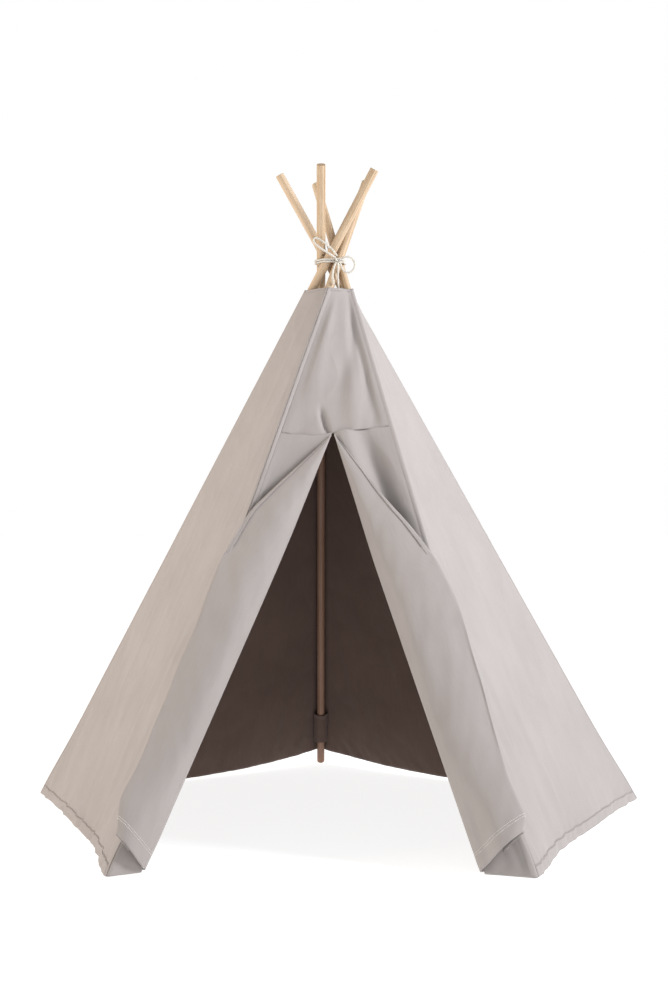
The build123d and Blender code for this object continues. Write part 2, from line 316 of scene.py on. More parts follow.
@dataclass(frozen=True)
class SandedPine:
    """Turned and sanded pine, unvarnished: pale, satin, with long straight grain."""

    name: str
    along: tuple[float, float, float]
    pale: str = "#ccb69c"
    honey: str = "#b99f80"
    brown: str = "#9a7c5c"
    # Stands in for the deep shade inside the tent, so the pole looks brown there and pale above.
    under_cover_shade: str = "#af9a99"
    grain_width_mm: float = 3.2
    grain_length_mm: float = 260.0
    pore_mm: float = 0.8
    # Heartwood and sapwood drift into each other along the pole.
    drift_mm: float = 190.0
    shade_edge_mm: float = 60.0

    def make(self) -> bpy.types.Material:
        """Builds the material with its grain along the pole and painted shade below the cover's
        top.
        """
        material, tree = blank_material(self.name)
        place = add_node(tree, "ShaderNodeTexCoord").outputs["Object"]
        turn = Vector(self.along).rotation_difference(Vector((0, 0, 1))).to_euler()
        upright = add_node(tree, "ShaderNodeMapping", values={"Rotation": tuple(turn)},
                           links={"Vector": place}).outputs[0]
        across, length = 1 / (self.grain_width_mm * MM), 1 / (self.grain_length_mm * MM)
        grain = noise_node(tree, scaled_place(tree, upright, (across, across, length)),
                           detail=5.0, Roughness=0.6, Distortion=0.5)
        pore_scale = (1 / (self.pore_mm * MM), 1 / (self.pore_mm * MM), length * 9)
        pores = noise_node(tree, scaled_place(tree, upright, pore_scale))
        broad = noise_node(tree, place, noise_scale(self.drift_mm))
        fine = mixed_value(tree, 0.2, mixed_value(tree, 0.35, grain, broad), pores)
        colour = colour_steps(tree, fine, [
            (0.36, self.brown), (0.45, self.honey), (0.56, self.pale), (0.7, self.honey),
        ])
        # Painted shade: below the cover's top hem the pine's colour is multiplied darker, standing
        # in for the shade inside the tent.
        height = add_node(tree, "ShaderNodeSeparateXYZ", links={"Vector": place}).outputs["Z"]
        covered = add_node(tree, "ShaderNodeMapRange",
                           values={"From Min": COVER_HEIGHT,
                                   "From Max": COVER_HEIGHT - self.shade_edge_mm * MM},
                           links={"Value": height}).outputs[0]
        painted_shade_colour = add_node(tree, "ShaderNodeMix",
                           {"data_type": "RGBA", "blend_type": "MULTIPLY"},
                           values={7: linear(self.under_cover_shade)},
                           links={0: covered, 6: colour.outputs[0]}).outputs[2]
        surface(tree, values={"Roughness": 0.52, "IOR": 1.5, "Specular IOR Level": 0.35},
                links={"Base Color": painted_shade_colour, "Normal": bump_node(tree, fine, 0.25, 0.3)})
        return material


class Cloth(Enum):
    """The faces of the canvas and the threads that sew it."""

    # Pale, faintly warm grey that takes the colour of the light it stands in.
    OUTSIDE = CottonCanvas("woven_cotton_canvas_outside", "#aca5a2", "#a49d9a")
    # Dark brown, standing in for the deep shade inside the tent. The real cloth is pale there.
    INSIDE = CottonCanvas("woven_cotton_canvas_inside", "#5c4a42", "#53423b")
    # The flaps are turned back, so both their faces are seen in daylight and stay pale.
    FLAP = CottonCanvas("woven_cotton_canvas_flap", "#aca5a2", "#a49d9a")
    # A shade darker than the cloth, so a seam reads as a fine line.
    TONAL_THREAD = SpunThread("spun_thread_greige", "#8f8680", "#80776f")
    # Bright against the cloth: the two white rows across the foot of each flap.
    WHITE_THREAD = SpunThread("spun_thread_white", "#f7f4f0", "#e6e2dc")


class Workshop:
    """Makes each material once and hands it out by its finish."""

    made: dict[str, bpy.types.Material] = {}

    @classmethod
    def material(cls, finish: CottonCanvas | SpunThread | BraidedCotton | SandedPine
                 ) -> bpy.types.Material:
        """The material of a finish, made on first use."""
        if finish.name not in cls.made:
            cls.made[finish.name] = finish.make()
        return cls.made[finish.name]


# ------------------------------------------------------------------ meshes
def add_mesh(name: str, points: np.ndarray, faces: Sequence[Sequence[int]],
             materials: Sequence[bpy.types.Material], picks: Sequence[int] | None = None,
             uvs: np.ndarray | None = None) -> bpy.types.Object:
    """Adds a smooth-shaded mesh object.

    Args:
        name: Name of the piece.
        points: Corner points, in metres.
        faces: Corner numbers of each face.
        materials: Materials of the piece.
        picks: Number of each face's material.
        uvs: Flat place of each point, in metres of cloth.

    Returns:
        The new object, at the origin.
    """
    mesh = bpy.data.meshes.new(name)
    mesh.from_pydata([tuple(point) for point in points], [], faces)
    for material in materials:
        mesh.materials.append(material)
    mesh.polygons.foreach_set("use_smooth", [True] * len(mesh.polygons))
    if picks is not None:
        mesh.polygons.foreach_set("material_index", picks)
    if uvs is not None:
        corners = np.empty(len(mesh.loops), int)
        mesh.loops.foreach_get("vertex_index", corners)
        layer = mesh.uv_layers.new(name="cloth")
        layer.data.foreach_set("uv", uvs[corners].astype(np.float32).ravel())
    mesh.update()
    piece = bpy.data.objects.new(name, mesh)
    bpy.context.scene.collection.objects.link(piece)
    return piece


def settle(piece: bpy.types.Object, body: str, stands_for: str | None = None) -> None:
    """Puts a finished piece on its body, in place of a CAD node if named."""
    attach(piece, body)
    if stands_for is not None:
        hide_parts(stands_for)


def grid_normals(grid: np.ndarray) -> np.ndarray:
    """Unit normals of a grid of points, row by row."""
    down = np.gradient(grid, axis=0)
    across = np.gradient(grid, axis=1)
    normals = np.cross(across, down)
    return normals / np.maximum(np.linalg.norm(normals, axis=2, keepdims=True), 1e-12)


def cloth_piece(name: str, grid: np.ndarray, outward: np.ndarray, outside: Cloth, inside: Cloth,
                thickness: float = CANVAS_THICKNESS) -> bpy.types.Object:
    """Adds a sheet of cloth with two faces and closed edges.

    Args:
        name: Name of the piece.
        grid: Points of the outer face, rows down and columns across.
        outward: Rough direction that the outer face looks in.
        outside: Finish of the outer face.
        inside: Finish of the inner face.
        thickness: Thickness of the cloth.

    Returns:
        The new object, whose first points are the grid's and then the inner face's.
    """
    rows, columns = grid.shape[:2]
    normals = grid_normals(grid)
    if np.mean(normals @ outward) < 0:
        normals = -normals
    facing = np.mean(grid_normals(grid) @ outward) > 0
    inner = grid - normals * thickness
    points = np.concatenate([grid.reshape(-1, 3), inner.reshape(-1, 3)])
    number = np.arange(rows * columns).reshape(rows, columns)
    a, b = number[:-1, :-1].ravel(), number[:-1, 1:].ravel()
    c, d = number[1:, 1:].ravel(), number[1:, :-1].ravel()
    shift = rows * columns
    front = np.stack([a, d, c, b] if not facing else [a, b, c, d], axis=1)
    back = front[:, ::-1] + shift
    rim_line = np.concatenate([number[0, :-1], number[:-1, -1], number[-1, :0:-1],
                               number[:0:-1, 0]])
    following = np.roll(rim_line, -1)
    rim = np.stack([rim_line, rim_line + shift, following + shift, following], axis=1)
    if not facing:
        rim = rim[:, ::-1]
    faces = np.concatenate([front, back, rim]).tolist()
    picks = [0] * len(front) + [1] * len(back) + [0] * len(rim)
    steps_across = np.linalg.norm(np.diff(grid, axis=1), axis=2)
    steps_down = np.linalg.norm(np.diff(grid, axis=0), axis=2)
    u = np.concatenate([np.zeros((rows, 1)), np.cumsum(steps_across, axis=1)], axis=1)
    u -= u[:, -1:] / 2
    v = np.concatenate([np.zeros((1, columns)), np.cumsum(steps_down, axis=0)], axis=0)
    flat = np.stack([u.ravel(), v.ravel()], axis=1)
    materials = [Workshop.material(outside.value), Workshop.material(inside.value)]
    return add_mesh(name, points, faces, materials, picks, np.concatenate([flat, flat]))


def stitch_points(line: np.ndarray, normal: np.ndarray, pitch: float, length: float,
                  width: float) -> tuple[np.ndarray, list[list[int]], np.ndarray]:
    """Rows of small spindle-shaped stitches along a line.

    Args:
        line: Points along the seam.
        normal: Outward direction at each point of the line.
        pitch: Distance from stitch to stitch.
        length: Length of one stitch.
        width: Thickness of the thread.

    Returns:
        Points, faces, and each stitch's place along the line from 0 to 1.
    """
    along = distances(line)
    total = along[-1]
    count = max(1, int(total / pitch))
    middles = (np.arange(count) + 0.5) * total / count
    start, end = (at_distances(line, along, middles + shift)
                  for shift in (-length / 2, length / 2))
    raised = at_distances(normal, along, middles)
    raised /= np.linalg.norm(raised, axis=1, keepdims=True)
    run = end - start
    run_unit = run / np.maximum(np.linalg.norm(run, axis=1, keepdims=True), 1e-9)
    side = np.cross(run_unit, raised)
    points, faces = [], []
    # A stitch is a point, two rings of four and a point: ten corners.
    for share, fat in ((0.0, 0.0), (0.22, 1.0), (0.78, 1.0), (1.0, 0.0)):
        centre = start + run * share + raised * width * (0.35 * fat - 0.1)
        if fat == 0.0:
            points.append(centre[:, None, :])
            continue
        ring = [centre + side * width / 2, centre + raised * width / 2,
                centre - side * width / 2, centre - raised * width / 2]
        points.append(np.stack(ring, axis=1))
    cloud = np.concatenate(points, axis=1)
    pattern = []
    for k in range(4):
        following = (k + 1) % 4
        pattern += [[0, 1 + k, 1 + following], [1 + k, 5 + k, 5 + following, 1 + following],
                    [5 + k, 9, 5 + following]]
    corners = cloud.shape[1]
    for stitch in range(count):
        faces += [[corner + stitch * corners for corner in face] for face in pattern]
    return cloud.reshape(-1, 3), faces, np.repeat(middles / total, corners)


# ------------------------------------------------------------------ cloth surfaces
@dataclass(frozen=True)
class Fold:
    """A soft ridge or valley in the cloth, along a straight line.

    Places are (share across, share down). A positive height stands outwards.
    """

    start: tuple[float, float]
    end: tuple[float, float]
    width_mm: float
    height_mm: float


@dataclass
class Patch:
    """A four-cornered panel of canvas, with the folds that it hangs in."""

    corners: dict[str, np.ndarray]
    folds: Sequence[Fold] = ()
    sag_mm: float = 9.0
    crumple_mm: float = 2.2
    drag_mm: float = 2.4
    pucker_mm: float = 3.6
    seed: float = 1.0
    edge_mm: float = 26.0
    # Width and length of each kind of unevenness, in millimetres.
    drag_size: tuple[float, float] = (42.0, 330.0)
    fine_drag_size: tuple[float, float] = (20.0, 150.0)
    slack_size: tuple[float, float] = (210.0, 300.0)
    crease_size: tuple[float, float] = (95.0, 120.0)
    pucker_size: tuple[float, float] = (21.0, 120.0)
    pucker_reach_mm: float = 62.0
    extra: Callable[[np.ndarray, np.ndarray], np.ndarray] | None = None

    @classmethod
    def from_node(cls, node: str, **settings: object) -> "Patch":
        """Patch over the outer face of a flat CAD panel.

        Args:
            node: Name of the CAD node, a thin panel with eight corners.
            settings: Other fields of the patch.

        Returns:
            The patch. Side a is the clockwise one, seen from above.
        """
        points = node_points(node)
        middle = points.mean(axis=0) - CROSSING * (1, 1, 0)
        away = unit(middle * (1, 1, 0))
        order = np.argsort(points[:, 2])
        corners = {}
        for level_name, group in (("low", points[order[:4]]), ("top", points[order[-4:]])):
            turn = (group - CROSSING) @ np.cross(UP, away)
            by_side = group[np.argsort(turn)]
            for side, pair in (("a", by_side[:2]), ("b", by_side[2:])):
                corners[f"{level_name}_{side}"] = pair[np.argmax(pair @ away)]
        return cls(corners, **settings)

    @property
    def normal(self) -> np.ndarray:
        """Outward direction of the flat panel."""
        c = self.corners
        square = unit(np.cross(c["top_b"] - c["low_a"], c["top_a"] - c["low_b"]))
        away = (c["low_a"] + c["low_b"]) / 2 - CROSSING
        return square if square @ (away * (1, 1, 0)) > 0 else -square

    def size(self) -> tuple[float, float, float]:
        """Top width, bottom width and length, in metres."""
        c = self.corners
        top = np.linalg.norm(c["top_b"] - c["top_a"])
        low = np.linalg.norm(c["low_b"] - c["low_a"])
        return top, low, np.linalg.norm((c["low_a"] + c["low_b"] - c["top_a"] - c["top_b"]) / 2)

    def relief(self, u: np.ndarray, v: np.ndarray) -> np.ndarray:
        """How far the cloth stands out of its flat panel, in millimetres."""
        top, low, length = (value / MM for value in self.size())
        width = top + (low - top) * v
        x, y = (u - 0.5) * width, v * length
        height = -self.sag_mm * np.sin(np.pi * u) * np.sin(np.pi * np.clip(v, 0, 1) * 0.9)
        drag = wander(x, y, *self.drag_size, self.seed)
        drag = drag + 0.5 * wander(x, y, *self.fine_drag_size, self.seed + 3)
        height = height + self.drag_mm * drag * (0.35 + 0.65 * v)
        slack = wander(x, y, *self.slack_size, self.seed + 11)
        height = height + self.crumple_mm * slack
        crease = 1 - np.abs(wander(x, y, *self.crease_size, self.seed + 17))
        height = height + self.crumple_mm * 0.7 * np.clip(crease, 0, 1) ** 3
        for fold in self.folds:
            height = height + self.fold_height(fold, u, v, x, y, width, length)
        puckers = wander(x + 0.3 * y, y, *self.pucker_size, self.seed + 23)
        near_hem = smooth((y - (length - self.pucker_reach_mm)) / 40.0)
        near_hem = near_hem * (1 - 0.65 * smooth((y - length) / 9 + 1))
        height = height + self.pucker_mm * puckers * near_hem
        edge = smooth(np.minimum(u, 1 - u) * width / self.edge_mm)
        height = height * edge
        if self.extra is not None:
            height = height + self.extra(u, v)
        return height

    @staticmethod
    def fold_height(fold: Fold, u: np.ndarray, v: np.ndarray, x: np.ndarray, y: np.ndarray,
                    width: np.ndarray, length: float) -> np.ndarray:
        """Height that one fold adds, in millimetres."""
        run_v = fold.end[1] - fold.start[1]
        run_u = fold.end[0] - fold.start[0]
        mean_width = float(np.interp((fold.start[1] + fold.end[1]) / 2, [0, 1],
                                     [width.min(), width.max()]))
        dx, dy = run_u * mean_width, run_v * length
        px, py = (u - fold.start[0]) * mean_width, (v - fold.start[1]) * length
        span = math.hypot(dx, dy)
        share = (px * dx + py * dy) / span ** 2
        off = (px * dy - py * dx) / span
        ends = smooth(share / 0.35) * smooth((1 - share) / 0.35)
        return fold.height_mm * np.exp(-(off / fold.width_mm) ** 2) * ends

    def flat_points(self, u: np.ndarray, v: np.ndarray) -> np.ndarray:
        """Points of the flat panel at shares across and down."""
        c = self.corners
        u, v = u[..., None], v[..., None]
        top = c["top_a"] * (1 - u) + c["top_b"] * u
        low = c["low_a"] * (1 - u) + c["low_b"] * u
        return top * (1 - v) + low * v

    def points(self, u: np.ndarray, v: np.ndarray, lift: float = 0.0) -> np.ndarray:
        """Points of the draped cloth, raised off it by a lift in metres."""
        high = self.relief(u, v) * MM + lift
        flat = self.flat_points(u, v)
        spots = flat + self.normal * high[..., None]
        at_hem = smooth((v - 0.955) / 0.045)
        spots[..., 2] += (flat[..., 2] - spots[..., 2]) * at_hem
        spots[..., 2] = np.maximum(spots[..., 2], CANVAS_THICKNESS)
        return spots


TURN_BOX = np.array(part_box("lower_cord_turn"))
CROSSING = np.append((TURN_BOX[0] + TURN_BOX[1])[:2] / 2, frame["joints"][0]["pos_m"][2])


@dataclass(frozen=True)
class PoleLine:
    """The straight axis of one pole."""

    foot: np.ndarray
    along: np.ndarray
    radius: float

    @classmethod
    def of(cls, name: str) -> "PoleLine":
        """Reads the axis of a pole from its CAD node."""
        points = np.array([v.co for v in frame["nodes"][name + "_pole"].data.vertices])
        low, high = points[points[:, 2].argmin()], points[points[:, 2].argmax()]
        guess = unit(high - low)
        reach = points @ guess
        ends = [points[reach < reach.min() + 25 * MM], points[reach > reach.max() - 25 * MM]]
        foot, tip = (np.unique(end.round(5), axis=0).mean(axis=0) for end in ends)
        along = unit(tip - foot)
        off = points - foot
        radius = np.linalg.norm(off - np.outer(off @ along, along), axis=1).max()
        return cls(foot, along, radius)

    def at_height(self, height: float) -> np.ndarray:
        """Point of the axis at a height above the floor."""
        return self.foot + self.along * (height - self.foot[2]) / self.along[2]


POLES = {name: PoleLine.of(name) for name in POLE_NAMES}


# ------------------------------------------------------------------ cord
def curve_line(points: Sequence[Sequence[float]], closed: bool = False) -> np.ndarray:
    """Smooth line through space that a cord of these route points takes.

    Args:
        points: Control points of the route, in metres.
        closed: Whether the line comes back to its start.

    Returns:
        Points along the smooth line.
    """
    curve = bpy.data.curves.new("route", "CURVE")
    curve.dimensions = "3D"
    curve.resolution_u = 16
    spline = curve.splines.new("NURBS")
    spline.points.add(len(points) - 1)
    for target, point in zip(spline.points, points):
        target.co = (*point, 1.0)
    spline.order_u = 3
    spline.use_cyclic_u = closed
    spline.use_endpoint_u = not closed
    holder = bpy.data.objects.new("route", curve)
    bpy.context.scene.collection.objects.link(holder)
    bpy.context.view_layer.update()
    seen = holder.evaluated_get(bpy.context.evaluated_depsgraph_get())
    mesh = bpy.data.meshes.new_from_object(seen)
    line = np.array([vertex.co for vertex in mesh.vertices])
    bpy.data.objects.remove(holder)
    return line


def even_line(line: np.ndarray, step: float, closed: bool = False) -> np.ndarray:
    """The same line with evenly spaced points."""
    if closed:
        line = np.concatenate([line, line[:1]])
    along = distances(line)
    count = max(4, int(along[-1] / step))
    places = np.linspace(0, along[-1], count + 1)[:count if closed else count + 1]
    return at_distances(line, along, places)


@dataclass
class BraidedTube:
    """A round braided cord around a line, with its strands raised."""

    diameter: float = CORD_DIAMETER
    strand_pitch: float = 7.5 * MM
    strand_relief: float = 0.09
    sides: int = 16
    step: float = 0.8 * MM
    # A cut end opens by about a third.
    fray: float = 0.308

    def build(self, name: str, line: np.ndarray, closed: bool = False,
              frayed_end: bool = False) -> bpy.types.Object:
        """Adds the tube.

        Args:
            name: Name of the piece.
            line: Points along its middle.
            closed: Whether the line is a loop.
            frayed_end: Whether the far end spreads a little, as cut cord does.

        Returns:
            The new object.
        """
        line = even_line(line, self.step, closed)
        ahead, behind = np.roll(line, -1, axis=0), np.roll(line, 1, axis=0)
        if not closed:
            ahead[-1], behind[0] = line[-1], line[0]
        tangents = ahead - behind
        tangents /= np.linalg.norm(tangents, axis=1, keepdims=True)
        side = unit(np.cross(tangents[0], [0.3, 0.8, 0.5]))
        sides = []
        for tangent in tangents:
            side = unit(side - tangent * (side @ tangent))
            sides.append(side)
        sides = np.array(sides)
        ups = np.cross(tangents, sides)
        along = np.arange(len(line)) * self.step
        angle = np.linspace(0, 2 * np.pi, self.sides, endpoint=False)
        phase = 2 * np.pi * along[:, None] / self.strand_pitch
        braid = np.maximum(np.cos(4 * angle + phase), np.cos(4 * angle - phase))
        radius = self.diameter / 2 * (1 - self.strand_relief + self.strand_relief * braid)
        if not closed:
            tip = np.minimum(along, along[-1] - along) / (0.45 * self.diameter)
            radius *= np.sqrt(1 - (1 - np.clip(tip, 0, 1)) ** 2)[:, None] * 0.98 + 0.02
            if frayed_end:
                spread = np.clip(1 - (along[-1] - along) / (1.2 * self.diameter), 0, 1)
                radius *= (1 + self.fray * spread)[:, None]
        ring = (np.cos(angle)[None, :, None] * sides[:, None] +
                np.sin(angle)[None, :, None] * ups[:, None])
        points = (line[:, None] + ring * radius[..., None]).reshape(-1, 3)
        rows = len(line)
        number = np.arange(rows * self.sides).reshape(rows, self.sides)
        last = rows if closed else rows - 1
        faces = []
        for row in range(last):
            this, that = number[row], number[(row + 1) % rows]
            faces += [[this[k], this[(k + 1) % self.sides], that[(k + 1) % self.sides], that[k]]
                      for k in range(self.sides)]
        if not closed:
            faces += [number[0, ::-1].tolist(), number[-1].tolist()]
        faces = [[int(corner) for corner in face] for face in faces]
        material = Workshop.material(BraidedCotton("bleached_cotton_cord"))
        return add_mesh(name, points, faces, [material])


@dataclass
class Lashing:
    """The cord that ties the poles: ties, two turns, the bow knot and its free ends."""

    knot_azimuth: float = -62.0
    knot_size: float = 2.2 * MM
    knot_depth: float = 2.6 * MM
    # Pulled tight, the cord in the knot is thinner than where it hangs free.
    knot_cord_diameter: float = 4.4 * MM
    turn_pitch: float = 5.6 * MM
    lashing_slack: float = 0.7 * MM
    # Far end and route of each free cord, in millimetres from the middle of the knot.
    routes: dict[str, tuple[str, list[tuple[int, int, int]]]] = field(default_factory=lambda: {
        "upper_bow_loop": ("object", [
            (-5, -7, 5), (-16, -11, 12), (-30, -14, 20), (-44, -17, 29), (-55, -18, 37),
            (-60, -18, 44), (-60, -18, 51), (-54, -18, 54), (-45, -17, 50), (-33, -15, 42),
            (-21, -13, 33), (-10, -10, 22), (-1, -7, 9)]),
        "side_bow_loop": ("object", [
            (7, -4, 3), (15, -6, 7), (25, -7, 8), (35, -7, 4), (42, -6, -5), (43, -5, -16),
            (39, -4, -26), (30, -4, -32), (20, -5, -31), (12, -6, -24), (8, -6, -15),
            (6, -5, -6)]),
        "left_cord_tail": ("bare", [
            (-4, -6, -6), (-8, -9, -15), (-11, -12, -27), (-13, -16, -40), (-12, -20, -52),
            (-9, -22, -64)]),
        "right_cord_tail": ("bare", [
            (1, -7, -7), (2, -9, -18), (1, -10, -29), (0, -10, -41), (1, -10, -54),
            (2, -9, -68), (3, -9, -83), (3, -11, -97)]),
        "short_cord_end": ("bare", [
            (-20, 30, 14), (-23, 30, 23), (-24, 32, 32), (-27, 34, 41), (-29, 37, 50)]),
    })

    @property
    def wrap_radius(self) -> float:
        """How far the middle of a cord turn stands from the poles' axes."""
        pole = POLES["back"]
        lean = math.acos(pole.along[2])
        return pole.radius / math.cos(lean) ** 0.5 + self.lashing_slack + CORD_DIAMETER / 2

    @property
    def knot_centre(self) -> np.ndarray:
        """Middle of the bow knot, from the knot's own CAD solid."""
        low, high = (np.array(corner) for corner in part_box("bow_knot"))
        return (low + high) / 2

    def build(self) -> list[bpy.types.Object]:
        """Builds every piece of the lashing."""
        return [*self.turns(), self.knot(), *self.free_cords(), *self.ties()]

    def turns(self) -> list[bpy.types.Object]:
        """The two turns of cord round the poles."""
        pieces = []
        for name, share in (("lower_cord_turn", -0.5), ("upper_cord_turn", 0.5)):
            height = CROSSING[2] + share * self.turn_pitch
            centres = np.array([pole.at_height(height) for pole in POLES.values()])
            angles = np.linspace(0, 2 * np.pi, 240, endpoint=False)
            line = []
            for angle in angles:
                away = np.array([math.cos(angle), math.sin(angle), 0.0])
                furthest = centres[np.argmax(centres @ away)]
                line.append(furthest + away * self.wrap_radius)
            piece = BraidedTube().build(name.replace("cord_turn", "lashing_turn"),
                                        np.array(line), closed=True)
            settle(piece, "back", name)
            pieces.append(piece)
        return pieces

    def knot(self) -> bpy.types.Object:
        """The bow's knot: one cord passed round and through itself."""
        turn = np.linspace(0, 2 * np.pi, 160, endpoint=False)
        across = (np.sin(turn) + 2 * np.sin(2 * turn)) * self.knot_size
        high = (np.cos(turn) - 2 * np.cos(2 * turn)) * self.knot_size
        deep = -np.sin(3 * turn) * self.knot_depth
        azimuth = math.radians(self.knot_azimuth)
        away = np.array([math.cos(azimuth), math.sin(azimuth), 0.0])
        right = np.cross(UP, away)
        line = (self.knot_centre + across[:, None] * right + high[:, None] * UP
                + deep[:, None] * away)
        tube = BraidedTube(diameter=self.knot_cord_diameter)
        piece = tube.build("bow_knot_wrapped", line, closed=True)
        settle(piece, "back", "bow_knot")
        return piece

    def free_cords(self) -> list[bpy.types.Object]:
        """The bow's two loops, its two tails and the short end."""
        pieces = []
        for node, (far_end, route) in self.routes.items():
            points = [self.knot_centre + np.array(point) * MM for point in route]
            line = curve_line(points)
            piece = BraidedTube().build(node + "_braided", line, frayed_end=far_end == "bare")
            settle(piece, "back", node)
            pieces.append(piece)
        return pieces

    def ties(self) -> list[bpy.types.Object]:
        """The short lengths of cord threaded through neighbouring poles."""
        pieces = []
        joints = {joint["name"]: joint for joint in frame["joints"]}
        for name, body in (("left", "back"), ("right", "back"), ("front_left", "left"),
                           ("front_right", "right")):
            joint = joints[name + "_pole_fold"]
            middle, axis = np.array(joint["pos_m"]), unit(np.array(joint["axis"]))
            reach = (node_points(name + "_pole_tie") - middle) @ axis
            line = middle + np.linspace(reach.min(), reach.max(), 24)[:, None] * axis
            piece = BraidedTube(diameter=CORD_DIAMETER * 0.99).build(name + "_threaded_cord", line)
            settle(piece, body, name + "_pole_tie")
            pieces.append(piece)
        return pieces


# ------------------------------------------------------------------ cover
@dataclass(frozen=True)
class Flare:
    """Cloth pushed outwards at a foot, where the cover rests over the pole."""

    reach_mm: float
    spread_mm: float = 170.0
    rise: float = 0.17


FLARES = {
    "right": Flare(8.0),
    "back": Flare(0.0),
    "left": Flare(6.0),
    "front_left": Flare(46.0),
    "front_right": Flare(38.0),
}


def foot_azimuth(name: str) -> float:
    """Angle of a pole's foot round the middle of the tent."""
    away = POLES[name].foot - CROSSING
    return math.atan2(away[1], away[0])


def foot_outward(name: str) -> np.ndarray:
    """Level direction from the middle to a pole's foot."""
    azimuth = foot_azimuth(name)
    return np.array([math.cos(azimuth), math.sin(azimuth), 0.0])


class Stitching(Enum):
    """Rows of lockstitch: pitch, visible length and thread width, in millimetres."""

    TONAL = (3.4, 2.6, 0.75)
    WHITE = (3.8, 3.0, 1.0)

    def thread(self) -> bpy.types.Material:
        """Material of this stitching's thread."""
        finish = Cloth.WHITE_THREAD if self is Stitching.WHITE else Cloth.TONAL_THREAD
        return Workshop.material(finish.value)

    def sew(self, name: str, lines: Sequence[tuple[np.ndarray, np.ndarray]]
            ) -> tuple[bpy.types.Object, list[np.ndarray]]:
        """Adds rows of stitches.

        Args:
            name: Name of the piece.
            lines: Points and outward directions of each row.

        Returns:
            The new object, and for each row the share along it of each point.
        """
        pitch, length, width = (value * MM for value in self.value)
        clouds, faces, shares, start = [], [], [], 0
        for line, normal in lines:
            cloud, loops, share = stitch_points(line, normal, pitch, length, width)
            clouds.append(cloud)
            faces += [[corner + start for corner in loop] for loop in loops]
            shares.append(share)
            start += len(cloud)
        return add_mesh(name, np.concatenate(clouds), faces, [self.thread()]), shares


def bend_between(piece: bpy.types.Object, weights: np.ndarray) -> None:
    """Bakes a piece's placement into its points.

    Args:
        piece: Piece of the cover.
        weights: Not used.
    """
    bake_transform(piece)


@dataclass
class ClosedPanel:
    """One closed side of the cover, hung between two poles, with its hems and stitches."""

    node: str
    bodies: tuple[str, str]
    seed: float = 1.0
    columns: int = 112
    rows: int = 190
    bottom_hem: float = 24 * MM
    top_hem: float = 9 * MM
    hem_lift: float = 0.9 * MM
    sag_mm: float = 9.0
    bottom_bow_mm: float = 0.0
    hem_rise_mm: float = 0.0

    def flared(self, patch: Patch, u: np.ndarray, v: np.ndarray, lift: float = 0.0) -> np.ndarray:
        """Draped points with the flare at both feet and the hem's bow added."""
        spots = flared_points(patch, self.sides, u, v, lift, self.bottom_bow_mm)
        share = u if self.sides[0] == "back" else 1 - u
        spare = (1 - share) - (1 - share) ** 2.8
        spots[..., 2] -= self.hem_rise_mm * MM * spare * smooth((v - 0.8) / 0.2)
        spots[..., 2] = np.maximum(spots[..., 2], CANVAS_THICKNESS)
        return spots

    @property
    def sides(self) -> tuple[str, str]:
        """Poles at side a and side b of the panel, going round anticlockwise."""
        order = {name: foot_azimuth(name) % (2 * math.pi) for name in self.bodies}
        first, second = sorted(self.bodies, key=order.get)
        return (second, first) if order[second] - order[first] > math.pi else (first, second)

    def weights(self, u: np.ndarray) -> np.ndarray:
        """Share of the second body at each place across, with a small ripple for pleats."""
        share = u if self.sides == self.bodies else 1 - u
        return share + 0.045 * np.sin(8 * np.pi * share)

    def build(self) -> list[bpy.types.Object]:
        """Builds the panel, its two hems and their stitching."""
        patch = Patch.from_node(self.node, seed=self.seed, sag_mm=self.sag_mm)
        length = patch.size()[2]
        hem_top = 1 - self.bottom_hem / length
        top_end = self.top_hem / length
        u, v = np.meshgrid(np.linspace(0, 1, self.columns), np.linspace(0, 1, self.rows))
        grid = self.flared(patch, u, v)
        sheet = cloth_piece(self.node + "_cloth", grid, patch.normal, Cloth.OUTSIDE, Cloth.INSIDE)
        bend_between(sheet, np.tile(self.weights(u).ravel(), 2))
        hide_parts(self.node)
        pieces = [sheet]
        for label, down in (("bottom_hem", (hem_top, 1.0)), ("top_hem", (0.0, top_end))):
            us, vs = np.meshgrid(np.linspace(0, 1, self.columns), np.linspace(*down, 7))
            band_grid = self.flared(patch, us, vs, self.hem_lift)
            band = cloth_piece(f"{self.node}_{label}", band_grid, patch.normal, Cloth.OUTSIDE,
                               Cloth.OUTSIDE, self.hem_lift * 0.8)
            bend_between(band, np.tile(self.weights(us).ravel(), 2))
            pieces.append(band)
        rows = []
        for place in (hem_top + 2.5 * MM / length, top_end - 1.6 * MM / length):
            us = np.linspace(0.003, 0.997, 400)
            line = self.flared(patch, us, np.full(400, place), self.hem_lift)
            rows.append((line, np.tile(patch.normal, (400, 1))))
        stitches, shares = Stitching.TONAL.sew(self.node + "_hem_stitches", rows)
        bend_between(stitches, self.weights(np.concatenate(shares)))
        pieces.append(stitches)
        declare_sheet(sheet, grid)
        return pieces


